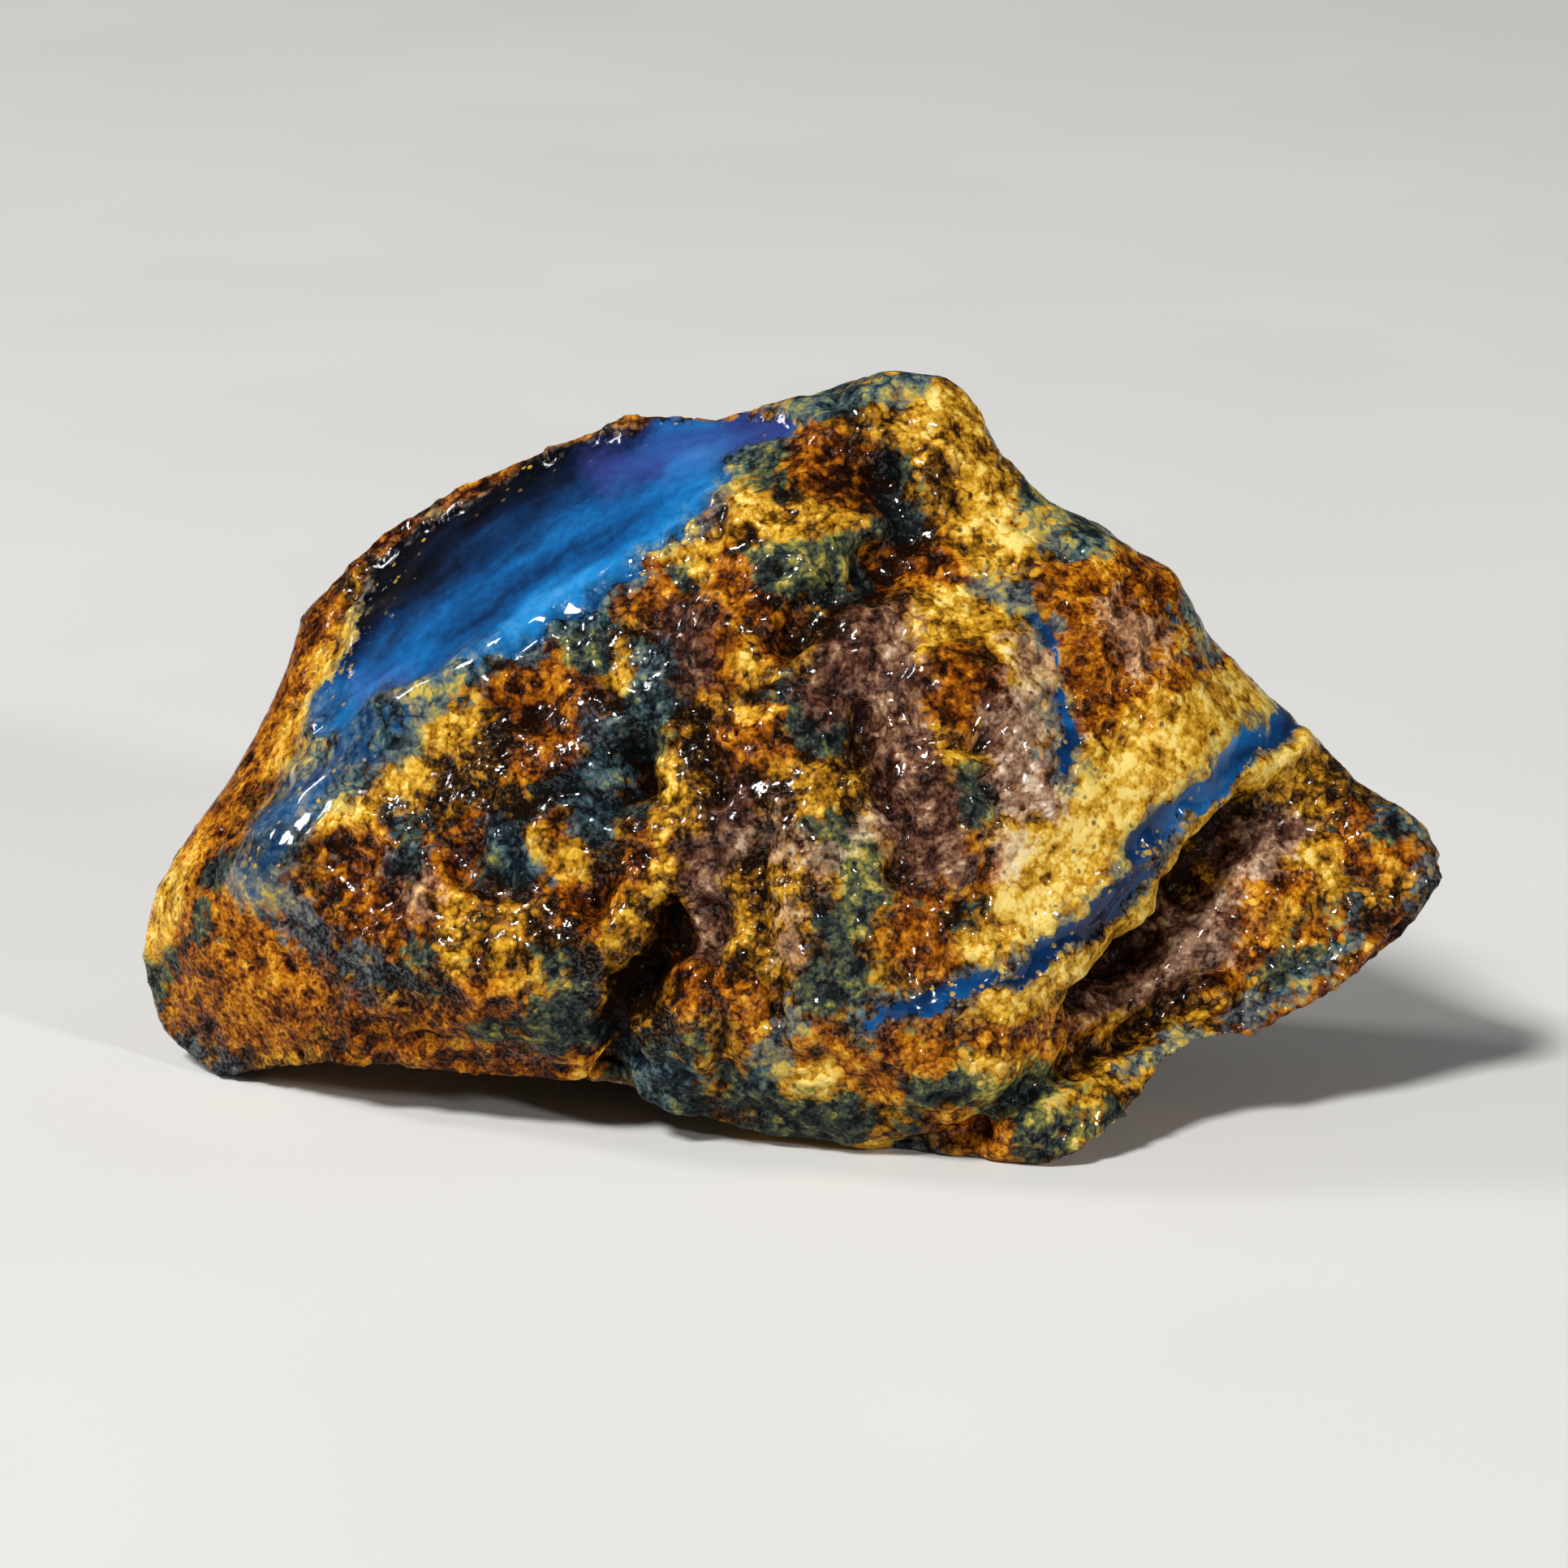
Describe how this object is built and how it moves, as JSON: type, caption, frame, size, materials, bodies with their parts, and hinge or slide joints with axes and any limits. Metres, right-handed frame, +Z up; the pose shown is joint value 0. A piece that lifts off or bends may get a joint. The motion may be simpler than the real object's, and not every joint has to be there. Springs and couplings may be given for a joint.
{
  "type": "rough amber specimen",
  "caption": "Rough piece of blue amber with a knobbly crust, one glossy bare window and a blue vein under an overhanging shelf; it lies on a small flat foot.",
  "frame": {"origin": "centre of the bounding box at the surface that the piece lies on", "axes": "+Z up, +X to the right as seen from the front, the broad crusted face looks along -Y and a little up"},
  "size_m": [0.0816, 0.0396, 0.0447],
  "materials": {
    "amber": "wet-looking crust in ochre, rust and brown over glossy blue amber"
  },
  "bodies": {
    "root": {"amber": "amber"}
  },
  "joints": []
}
